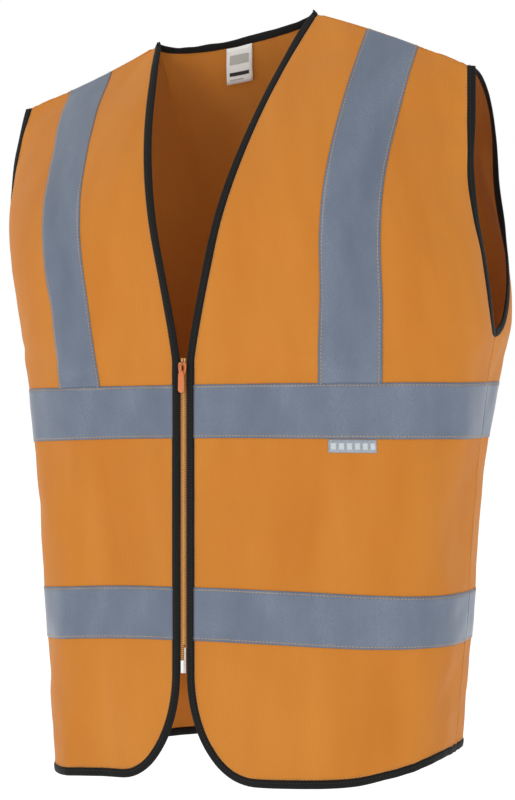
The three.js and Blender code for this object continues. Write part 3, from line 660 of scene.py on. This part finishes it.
def beadedReflectiveTape():
    finish = tapeFinish["colour"], tapeFinish["roughness"]
    material, shader, tree = newMaterial("Glass-bead reflective tape", *finish, **{
        "Metallic": 0.15, "Sheen Weight": 0.25, "Sheen Roughness": 0.35, "Coat Weight": 0.12, "Coat Roughness": 0.3})
    uv = addNode(tree, "ShaderNodeTexCoord", output="UV")
    # painted shade and painted highlight: long streaks of darker and lighter grey stand in for soft creases across the
    # tape
    paintedCreaseStreaks = addNode(tree, "ShaderNodeMapping", {"Vector": uv, "Scale": (22, 9, 1)})
    cloud = addNode(tree, "ShaderNodeTexNoise", {"Vector": paintedCreaseStreaks, "Scale": 1.0, "Detail": 4.0}, "Fac")
    face = addNode(tree, "ShaderNodeValToRGB", {"Fac": cloud}, "Color",
                   ((0.32, tapeFinish["dark"]), (0.68, tapeFinish["light"])))
    beads = addNode(tree, "ShaderNodeTexVoronoi", {"Vector": uv, "Scale": 1 / tapeFinish["bead"]}, "Distance")
    fine = addNode(tree, "ShaderNodeMath", {0: beads, 1: 0.9}, operation="MULTIPLY", use_clamp=True)
    addNode(tree, "ShaderNodeMix", {0: fine, 6: face, 7: tapeFinish["dark"]}, 2, feeds=shader.inputs["Base Color"],
            data_type="RGBA")
    weave = addNode(tree, "ShaderNodeTexWave", {"Vector": uv, "Scale": waveUnit / tapeFinish["thread"],
                                                "Distortion": 0.0, "Detail": 1.0}, "Fac", bands_direction="DIAGONAL")
    height = addNode(tree, "ShaderNodeMath", {0: beads, 1: weave}, operation="ADD")
    addNode(tree, "ShaderNodeBump", {"Height": height, "Strength": 0.25, "Distance": 0.0002}, "Normal",
            feeds=shader.inputs["Normal"])
    return material


# A plain woven cloth: warp and weft cross at the given thread spacing
def wovenCloth(name, colour, dark, thread, roughness, sheen=0.1, place="UV"):
    material, shader, tree = newMaterial(name, colour, roughness, **{"Sheen Weight": sheen, "Specular IOR Level": 0.3})
    where = addNode(tree, "ShaderNodeTexCoord", output=place)
    warp, weft = [
        addNode(tree, "ShaderNodeTexWave", {"Vector": where, "Scale": waveUnit / thread, "Distortion": 0.4,
                                            "Detail": 1.0}, "Fac", bands_direction=direction)
        for direction in ("X", "Y" if place == "UV" else "Z")
    ]
    crossed = addNode(tree, "ShaderNodeMath", {0: warp, 1: weft}, operation="MULTIPLY")
    worn = addNode(tree, "ShaderNodeTexNoise", {"Vector": where, "Scale": 60.0, "Detail": 2.0}, "Fac")
    share = addNode(tree, "ShaderNodeMath", {0: crossed, 1: worn}, operation="MULTIPLY", use_clamp=True)
    addNode(tree, "ShaderNodeMix", {0: share, 6: dark, 7: colour}, 2, feeds=shader.inputs["Base Color"],
            data_type="RGBA")
    addNode(tree, "ShaderNodeBump", {"Height": crossed, "Strength": 0.5, "Distance": 0.0002}, "Normal",
            feeds=shader.inputs["Normal"])
    return material


# A hard finish with the faint unevenness of its making, read in place
def moulded(name, colour, light, roughness, grain, strength, **settings):
    material, shader, tree = newMaterial(name, colour, roughness, **settings)
    place = addNode(tree, "ShaderNodeTexCoord", output="Object")
    cloud = addNode(tree, "ShaderNodeTexNoise", {"Vector": place, "Scale": 1 / grain, "Detail": 3.0}, "Fac")
    addNode(tree, "ShaderNodeValToRGB", {"Fac": cloud}, "Color", ((0.3, colour), (0.7, light)),
            shader.inputs["Base Color"])
    addNode(tree, "ShaderNodeBump", {"Height": cloud, "Strength": strength, "Distance": 0.0002}, "Normal",
            feeds=shader.inputs["Normal"])
    return material


materials = {
    "knit": warpKnittedPolyester(),
    "tape": beadedReflectiveTape(),
    "binding": wovenCloth("Woven polyester bias binding", "#11110F", "#050504", 0.0009, 0.8, 0.03),
    "zipTape": wovenCloth("Woven zip tape", "#D0843A", "#B06A28", 0.0008, 0.75, place="Object"),
    "label": wovenCloth("White satin label", "#FFFFFF", "#F3F2EE", 0.0006, 0.55),
    "labelInk": wovenCloth("Printed label ink", "#3B3B3A", "#2A2A29", 0.0006, 0.6),
    "labelGrey": wovenCloth("Printed label grey", "#C9C8C3", "#BAB9B3", 0.0006, 0.6),
    "film": moulded("Heat-transfer film", "#959CA6", "#A4ABB4", 0.35, 0.002, 0.1, **{"Metallic": 0.3}),
    "filmDark": moulded("Heat-transfer film, printed", "#C0C8CC", "#CCD3D6", 0.4, 0.002, 0.1, **{"Metallic": 0.2}),
    # drawn polyester wire, wound and heat set: smooth with a soft gloss
    "coil": moulded("Drawn polyester coil", "#CE9350", "#DBA664", 0.38, 0.0015, 0.05, **{"IOR": 1.57}),
    # die-cast zinc under stoved enamel: smooth, slightly pooled
    "enamel": moulded("Stoved enamel on zinc", "#CC6A2E", "#D67A3C", 0.3, 0.002, 0.12,
                      **{"Coat Weight": 0.5, "IOR": 1.5}),
    # injection-moulded acetal: waxy white
    "acetal": moulded("Moulded white acetal", "#ECEBE6", "#F6F6F2", 0.35, 0.001, 0.06, **{"IOR": 1.48}),
    # spun polyester sewing thread: tan where it shows against the orange
    "tanThread": moulded("Tan spun polyester thread", "#C99A5A", "#D9B074", 0.7, 0.0006, 0.4),
    "blackThread": moulded("Black spun polyester thread", "#1C1C1B", "#2C2C2A", 0.7, 0.0006, 0.4),
}
print("materials made")


panelNodes = {"back": "back_panel", "left": "front_panel_left", "right": "front_panel_right"}
panelNames = {"back": "back", "left": "leftFront", "right": "rightFront"}


def makePanel(where):
    columns = finer(panels[where].columns, cloth["finer"])
    rowsHere = finer(rowValues, cloth["finer"])
    obj = patch(panelNames[where] + "Panel", where, columns, rowsHere, cloth["lift"], materials["knit"])
    thicken(obj, cloth["thickness"])
    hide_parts(panelNodes[where])
    width, height = extent(where, columns, rowsHere)
    flatArea(where, columns, rowsHere)
    carry(obj, where)


for where in panels:
    makePanel(where)
print("panels sewn")

tapes = {"lift": 0.0011, "thickness": 0.0005, "spacing": 0.0045}


def samples(low, high, length):
    return np.linspace(low, high, max(3, int(length / tapes["spacing"]) + 1))


def makeTape(name, where, columns, rowsHere, node):
    width, height = extent(where, np.linspace(*columns, 9), np.linspace(*rowsHere, 9))
    columnSamples, rowSamples = samples(*columns, width), samples(*rowsHere, height)
    obj = patch(name, where, columnSamples, rowSamples, tapes["lift"], materials["tape"])
    thicken(obj, tapes["thickness"])
    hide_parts(node)
    width, height = extent(where, columnSamples, rowSamples)
    flatArea(where, columnSamples, rowSamples)
    carry(obj, where)


for height, (low, high) in bandRows.items():
    makeTape(f"{height}BandBack", "back", (-14, 14), (low, high), f"{height}_band_back")
    makeTape(f"{height}BandLeft", "left", (0, 11), (low, high), f"{height}_band_front_left")
    makeTape(f"{height}BandRight", "right", (0, 11), (low, high), f"{height}_band_front_right")
for side, (low, high) in (("left", (7, 9)), ("right", (-9, -7))):
    makeTape(f"{side}ShoulderTapeFront", side, (4, 6), (11, 22), f"shoulder_tape_front_{side}")
    makeTape(f"{side}ShoulderTapeBack", "back", (low, high), (11, 22), f"shoulder_tape_back_{side}")
print("tapes laid")

bindings = {"width": 0.0078, "thickness": 0.0026, "spacing": 0.004, "overlap": 0.0012, "evened": 4}


# Section of the folded strip: nearly flat, round at the outer edge, tucked in at the inner one
def bindingSection():
    width, half, back = bindings["width"], bindings["thickness"] / 2, bindings["overlap"]
    lift = cloth["lift"]
    return [
        (back, lift + half * 0.55), (back * 0.2, lift + half * 0.98), (-width * 0.35, lift + half * 1.05),
        (-width * 0.62, lift + half * 0.95), (-width * 0.80, lift + half * 0.62), (-width * 0.87, lift),
        (-width * 0.80, lift - half * 0.62), (-width * 0.62, lift - half * 0.95), (-width * 0.35, lift - half * 1.05),
        (back * 0.2, lift - half * 0.98), (back, lift - half * 0.55),
    ]


# Directions along a strip, averaged over a few neighbours so that it lies flat
def evened(directions):
    reach = bindings["evened"]
    wide = np.concatenate([np.repeat(directions[:1], reach, 0), directions, np.repeat(directions[-1:], reach, 0)])
    mean = np.stack([np.convolve(wide[:, k], np.ones(2 * reach + 1), "valid") for k in range(3)], 1)
    return mean / np.linalg.norm(mean, axis=1, keepdims=True)


# A map in metres that runs with the piece as it lies
def addLengthMap(obj):
    mesh = obj.data
    layer = mesh.uv_layers.new(name="cloth")
    places = [None] * len(mesh.loops)
    for polygon in mesh.polygons:
        for loop in polygon.loop_indices:
            co = mesh.vertices[mesh.loops[loop].vertex_index].co
            places[loop] = (co.x + co.y * 0.7, co.z + co.y * 0.7)
    layer.data.foreach_set("uv", np.array(places).reshape(-1))


def makeBinding(name, where, columns, rowsHere, inward, node):
    line, across, outward = lineOf(where, columns, rowsHere, inward)
    line, across, outward = resample([line, across, outward], bindings["spacing"])
    across, outward = evened(across), evened(outward)
    across = across - outward * (across * outward).sum(axis=1, keepdims=True)
    across /= np.linalg.norm(across, axis=1, keepdims=True)
    obj = sweep(name, line, across, outward, bindingSection(), materials["binding"])
    addLengthMap(obj)
    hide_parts(node)
    carry(obj, where)
    edgeLines.append((where, (line, across, outward)))


edgeLines = []
fineRows = finer(rowValues, 2)
armRows = fineRows[fineRows >= rows["underarm"]]
for side, edge in (("left", 14), ("right", -14)):
    downThenAlong = list(fineRows[::-1]) + [0] * (len(finer(frontValues, 2)) - 1)
    columnsHere = [0] * len(fineRows) + list(finer(frontValues, 2)[1:])
    makeBinding(f"{side}FrontEdgeBinding", side, columnsHere, downThenAlong, (1, 1), f"front_edge_binding_{side}")
    makeBinding(f"{side}ArmholeBindingFront", side, [11] * len(armRows), armRows, (-1, 0),
                f"armhole_binding_front_{side}")
    makeBinding(f"{side}ArmholeBindingBack", "back", [edge] * len(armRows), armRows, (-np.sign(edge), 0),
                f"armhole_binding_back_{side}")
backSamples = finer(backValues, 2)
makeBinding("hemBindingBack", "back", backSamples, [0] * len(backSamples), (0, 1), "hem_binding_back")
neckSamples = backSamples[np.abs(backSamples) <= backColumns["neck"]]
makeBinding("neckBindingBack", "back", neckSamples, [22] * len(neckSamples), (0, -1), "neck_binding_back")
print("edges bound")

stitching = {"pitch": 0.0034, "length": 0.0028, "width": 0.0006, "height": 0.0004, "inset": 0.0022}
threads = {}


# Adds a row of stitches, each a small flattened seed, beside a line of the cloth
def stitchRow(where, thread, line, across, outward, aside, lift):
    line, across, outward = resample([line + across * aside + outward * lift, across, outward], stitching["pitch"])
    along = np.gradient(line, axis=0)
    bm = threads.setdefault((where, thread), bmesh.new())
    sizes = (stitching["length"] / 2, stitching["width"] / 2, stitching["height"] / 2)
    for place, forward, up in zip(line, along, outward):
        x = Vector(forward).normalized()
        y = Vector(up).cross(x).normalized()
        turn = Matrix((x, y, x.cross(y))).transposed().to_4x4()
        shape = Matrix.Translation(Vector(place)) @ turn @ Matrix.Diagonal((*sizes, 1))
        bmesh.ops.create_icosphere(bm, subdivisions=1, radius=1, matrix=shape)


tapeTop = tapes["lift"] + tapes["thickness"] / 2 + 0.0001
for where, panel in panels.items():
    columns = finer(panel.columns, 2)
    for low, high in bandRows.values():
        for row in (low + 0.045, high - 0.045):
            stitchRow(where, "tanThread", *lineOf(where, columns, [row] * len(columns), (0, 1)), 0, tapeTop)
    upRows = finer(rowValues, 2)
    upRows = upRows[upRows >= rows["upperTapeTop"]]
    edges = (-9, -7, 7, 9) if where == "back" else (4, 6)
    for edge in edges:
        inner = edge + (0.09 if edge in (4, 7, -9) else -0.09)
        stitchRow(where, "tanThread", *lineOf(where, [inner] * len(upRows), upRows, (1, 0)), 0, tapeTop)
for where, edgeLine in edgeLines:
    stitchRow(where, "blackThread", *edgeLine, -0.0016, 0.0004 + bindings["thickness"] * 0.52)
    stitchRow(where, "tanThread", *edgeLine, stitching["inset"], 0.0009)
for (where, thread), bm in threads.items():
    obj = finishMesh(bm, f"{panelNames[where]}{thread[0].upper()}{thread[1:]}", materials[thread])
    carry(obj, where)
print("stitched")

seams = {"width": 0.0026, "height": 0.0013, "allowance": 0.006, "inside": 0.0011, "curl": 40}


# The turned-in edges of a seam lift the cloth into a low ridge
def makeSeam(name, where, columns, rowsHere):
    line, across, outward = resample(lineOf(where, columns, rowsHere, (1, 1)), 0.004)
    half, top = seams["width"] / 2, seams["height"]
    section = [(-half, 0.0), (-half * 0.8, top * 0.6), (0, top), (half * 0.8, top * 0.6), (half, 0.0), (0, -0.0006)]
    obj = sweep(name, line, across, outward, section, materials["knit"])
    addLengthMap(obj)
    carry(obj, where)


# The turned-in cloth inside a side seam joins the back and the front; its place is baked into its mesh
def makeAllowance(name, columns, rowsHere):
    line, across, outward = resample(lineOf("back", columns, rowsHere, (-np.sign(columns[0]), 0)), 0.006)
    offsets = np.linspace(-seams["allowance"], seams["allowance"], 7)
    place = np.stack([line + across * aside - outward * (seams["inside"] + seams["curl"] * aside**2)
                      for aside in offsets])
    obj = gridMesh(name, place)
    obj.data.materials.append(materials["knit"])
    addLengthMap(obj)
    thicken(obj, 0.0004)
    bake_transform(obj)


sideRows = finer(rowValues, 2)
sideRows = sideRows[sideRows <= rows["underarm"]]
for side, sign in (("left", 1), ("right", -1)):
    tips = np.linspace(6.15, 13.9, 40) * sign
    makeSeam(f"{side}ShoulderSeam", "back", tips, [22] * len(tips))
    makeSeam(f"{side}SideSeam", "back", [14 * sign] * len(sideRows), sideRows)
    makeAllowance(f"{side}SeamAllowance", [14 * sign] * len(sideRows), sideRows)
print("seams closed")

# Depths in millimetres below the neckline; the bars are columns, from, to, and finish
label = {
    "halfColumns": 0.62, "top": 0.3, "height": 31, "away": -0.0022, "curl": -0.0016, "slant": -0.46,
    "thickness": 0.0004, "printLift": -0.00045, "flat": (0.0302, 0.0345),
    "bars": {
        "labelPaleBlock": ((-0.46, 0.46), 7, 15, "labelGrey"),
        "labelDarkBar": ((-0.46, 0.46), 21.5, 24.5, "labelInk"),
        "labelThinBar": ((-0.46, 0.2), 27.0, 28.2, "labelGrey"),
    },
}


def backRowAt(depth):
    zs = panels["back"].at(0, np.array(rowValues))[:, 2]
    return float(np.interp(zs[-1] * 1000 - depth, zs * 1000, rowValues))


def labelPatch(name, columns, fromTop, toTop, extra, material):
    rowSamples = np.array([backRowAt(d) for d in np.linspace(toTop, fromTop, 10)])
    depth = np.linspace(toTop, fromTop, 10) / label["height"]
    columnSamples = np.linspace(*columns, 9)[:, None] + label["slant"] * depth[None, :]
    lift = (label["away"] + label["curl"] * depth**2 + extra)[None, :, None]
    return patch(name, "back", columnSamples, rowSamples[None, :] + 0 * columnSamples, lift, material)


neckLabel = labelPatch("neckLabel", (-label["halfColumns"], label["halfColumns"]), label["top"], label["height"], 0,
                       materials["label"])
thicken(neckLabel, label["thickness"])
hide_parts("neck_label")
bars = [labelPatch(name, columns, low, high, label["printLift"], materials[finish])
        for name, (columns, low, high, finish) in label["bars"].items()]
for piece in [neckLabel, *bars]:
    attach(piece, "back")

tab = {
    "columns": (4.28, 5.76), "rows": (9.1, 9.97), "lift": 0.0009, "thickness": 0.0003, "flat": (0.0440, 0.0135),
    "marks": 6, "firstMark": 4.36, "markPitch": 0.24, "markWidth": 0.15, "markRows": (9.3, 9.72), "markLift": 0.00115,
}
chestTab = patch("chestTab", "left", np.linspace(*tab["columns"], 15), np.linspace(*tab["rows"], 6), tab["lift"],
                 materials["film"])
thicken(chestTab, tab["thickness"])
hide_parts("chest_tab")
carry(chestTab, "left")
for count in range(tab["marks"]):
    start = tab["firstMark"] + count * tab["markPitch"]
    markColumns = np.linspace(start, start + tab["markWidth"], 4)
    mark = patch(f"chestTabMark{count + 1}", "left", markColumns, np.linspace(*tab["markRows"], 4), tab["markLift"],
                 materials["filmDark"])
    carry(mark, "left")
print("label and tab sewn on")

zipParts = {"pitch": 0.0019, "reach": 0.0021, "wire": 0.0007, "tilt": 7, "pullWidth": 0.0064}


# One side of the coil: the loops of wound wire that show between the tapes
def makeCoil(side, sign):
    low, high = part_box(f"zip_teeth_{side}")
    bm = bmesh.new()
    middle = (low[1] + high[1]) / 2
    count = int((high[2] - low[2]) / zipParts["pitch"])
    for index in range(count):
        z = high[2] - (index + (0.25 if sign > 0 else 0.75)) * zipParts["pitch"]
        turn = Matrix.Rotation(math.radians(zipParts["tilt"] * sign), 4, "Y")
        size = Matrix.Diagonal((zipParts["reach"], zipParts["wire"] * 1.15, zipParts["wire"] * 0.85, 1))
        shape = Matrix.Translation((sign * 0.0011, middle, z)) @ turn @ size
        bmesh.ops.create_uvsphere(bm, u_segments=8, v_segments=6, radius=1, matrix=shape)
    obj = finishMesh(bm, f"{side}Coil", materials["coil"])
    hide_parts(f"zip_teeth_{side}")
    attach(obj, f"front_{side}")


# A flat plate from an outline of (x, z) points, with rounded edges
def addPlate(bm, outline, back, front, rounding):
    verts = [bm.verts.new((x, back, z)) for x, z in outline]
    face = bm.faces.new(verts)
    made = bmesh.ops.extrude_face_region(bm, geom=[face])
    moved = [v for v in made["geom"] if isinstance(v, bmesh.types.BMVert)]
    bmesh.ops.translate(bm, verts=moved, vec=(0, front - back, 0))
    everything = set(verts) | set(moved)
    edges = [e for e in bm.edges if all(v in everything for v in e.verts)]
    bmesh.ops.bevel(bm, geom=edges, offset=rounding, segments=2, profile=0.5, affect="EDGES", material=-1)


def arc(centre, radius, low, high, steps):
    angles = np.radians(np.linspace(low, high, steps))
    return [(centre[0] + radius * math.cos(a), centre[1] + radius * math.sin(a)) for a in angles]


def makeSlider():
    low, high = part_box("zip_slider")
    half, top, bottom = high[0], high[2], low[2]
    face = high[1] - 0.0014
    bm = bmesh.new()
    outline = [(-half * 0.7, bottom), (half * 0.7, bottom), (half * 0.98, bottom + 0.006), (half, top - 0.002),
               (half * 0.75, top), (half * 0.18, top - 0.0008), (-half * 0.18, top - 0.0008), (-half * 0.75, top),
               (-half, top - 0.002), (-half * 0.98, bottom + 0.006)]
    addPlate(bm, outline, high[1], face, 0.00035)
    bridge = [Vector((0, 2 * face - y, z)) for z, y in arc(((top + bottom) / 2 + 0.0003, face), 0.0035, 0, 180, 13)]
    for a, b in zip(bridge, bridge[1:]):
        along = b - a
        turn = along.to_track_quat("Z", "X").to_matrix().to_4x4()
        size = Matrix.Diagonal((0.0007, 0.0011, along.length * 0.62, 1))
        bmesh.ops.create_cube(bm, size=2, matrix=Matrix.Translation((a + b) / 2) @ turn @ size)
    bmesh.ops.recalc_face_normals(bm, faces=bm.faces)
    slider = finishMesh(bm, "slider", materials["enamel"])
    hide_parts("zip_slider")
    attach(slider, "zip_slider_body")


def makePull():
    low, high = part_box("zip_pull_tab")
    front, back = low[1], high[1]
    middle, half = (front + back) / 2, zipParts["pullWidth"] / 2
    bm = bmesh.new()
    ringCentre = Vector((0, middle, high[2] - 0.0022))
    bmesh.ops.create_circle(bm, segments=10, radius=0.00055,
                            matrix=Matrix.Translation(ringCentre + Vector((0.0019, 0, 0)))
                            @ Matrix.Rotation(math.pi / 2, 4, "X"))
    bmesh.ops.spin(bm, geom=bm.verts[:] + bm.edges[:], cent=ringCentre, axis=(0, 1, 0), angle=2 * math.pi, steps=24,
                   use_merge=True)
    bottom, top = low[2], high[2] - 0.0042
    outline = arc((0, bottom + half), half, 180, 360, 13) + [(half * 0.9, top - 0.004), (half * 0.5, top),
                                                            (-half * 0.5, top), (-half * 0.9, top - 0.004)]
    addPlate(bm, outline, back, front, 0.00025)
    for step in range(4):
        place = Matrix.Translation((0, front - 0.00008, bottom + 0.0035 + step * 0.0022))
        bmesh.ops.create_uvsphere(bm, u_segments=12, v_segments=6, radius=1,
                                  matrix=place @ Matrix.Diagonal((half * 0.62, 0.0003, 0.00055, 1)))
    bmesh.ops.recalc_face_normals(bm, faces=bm.faces)
    pull = finishMesh(bm, "pull", materials["enamel"])
    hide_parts("zip_pull_tab")
    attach(pull, "zip_pull")


def makeBox():
    low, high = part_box("zip_retainer_box")
    bm = bmesh.new()
    centre, size = (low + high) / 2, (high - low) / 2
    bmesh.ops.create_cube(bm, size=2, matrix=Matrix.Translation(centre) @ Matrix.Diagonal((*size, 1)))
    bmesh.ops.bevel(bm, geom=bm.edges[:], offset=0.0004, segments=3, profile=0.5, affect="EDGES", material=-1)
    faces = [f for f in bm.faces if f.normal.y < -0.99]
    bmesh.ops.inset_region(bm, faces=faces, thickness=0.00035, depth=-0.00015)
    box = finishMesh(bm, "retainerBox", materials["acetal"])
    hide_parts("zip_retainer_box")
    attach(box, "front_right")


for side, sign in (("left", 1), ("right", -1)):
    makeCoil(side, sign)
    nodes[f"zip_tape_{side}"].material_slots[0].material = materials["zipTape"]
    nodes[f"zip_top_stop_{side}"].material_slots[0].material = materials["coil"]
nodes["zip_insertion_pin"].material_slots[0].material = materials["acetal"]
makeSlider()
makePull()
makeBox()
print("zip fitted")

view = {"azimuth": 24.9, "height": 1.0, "distance": 2.140, "focal": 2169.5, "centreX": 234.7,
        "target": (0, 0, -0.365), "frame": (515, 800)}


def placeCamera():
    azimuth, rise = math.radians(view["azimuth"]), math.radians(view["height"])
    back = Vector((math.sin(azimuth) * math.cos(rise), -math.cos(azimuth) * math.cos(rise), math.sin(rise)))
    data = bpy.data.cameras.new("camera")
    data.sensor_fit = "VERTICAL"
    data.sensor_height = 24
    data.lens = 24 * view["focal"] / view["frame"][1]
    data.shift_x = (view["frame"][0] / 2 - view["centreX"]) / view["frame"][1]
    camera = bpy.data.objects.new("camera", data)
    turned = back.to_track_quat("Z", "Y").to_matrix().to_4x4()
    camera.matrix_world = Matrix.Translation(Vector(view["target"]) + back * view["distance"]) @ turned
    scene.collection.objects.link(camera)
    scene.camera = camera


studio = {
    "aim": (0, 0, -0.35), "backdrop": 1.0, "daylight": 0.72, "floorHeight": -1.25, "floorGlow": 0.36,
    "keyLight": ((-1.3, -2.4, 1.5), 1.2, 19, (1, 0.985, 0.96)),
    "fillLight": ((2.4, -1.6, 0.6), 1.8, 8, (0.97, 0.985, 1)),
}


def addArea(name, place, size, power, tint):
    data = bpy.data.lights.new(name, "AREA")
    data.shape, data.size, data.energy = "DISK", size, power
    data.color = tint
    light = bpy.data.objects.new(name, data)
    aim = (Vector(place) - Vector(studio["aim"])).to_track_quat("Z", "Y")
    light.matrix_world = Matrix.Translation(Vector(place)) @ aim.to_matrix().to_4x4()
    scene.collection.objects.link(light)


placeCamera()
for lamp in ("keyLight", "fillLight"):
    addArea(lamp, *studio[lamp])
world = bpy.data.worlds.new("studio")
world.use_nodes = True
backdrop = world.node_tree.nodes["Background"]
backdrop.inputs["Color"].default_value = (1, 1, 1, 1)
# the backdrop is seen a little brighter than it lights the cloth
seen = addNode(world.node_tree, "ShaderNodeLightPath", output="Is Camera Ray")
strengths = {"Value": seen, "To Min": studio["daylight"], "To Max": studio["backdrop"]}
addNode(world.node_tree, "ShaderNodeMapRange", strengths, "Result", feeds=backdrop.inputs["Strength"])
scene.world = world
scene.view_settings.view_transform = "Standard"

bm = bmesh.new()
bmesh.ops.create_grid(bm, x_segments=2, y_segments=2, size=30, matrix=Matrix.Translation((0, 0, studio["floorHeight"])))
paleFloor, floorShader, _ = newMaterial("Pale painted floor", "#FFFFFF", 1.0, **{"Specular IOR Level": 0.0})
floorShader.inputs["Emission Color"].default_value = (1, 1, 1, 1)
floorShader.inputs["Emission Strength"].default_value = studio["floorGlow"]
floor = finishMesh(bm, "floor", paleFloor)

print("scene ready")
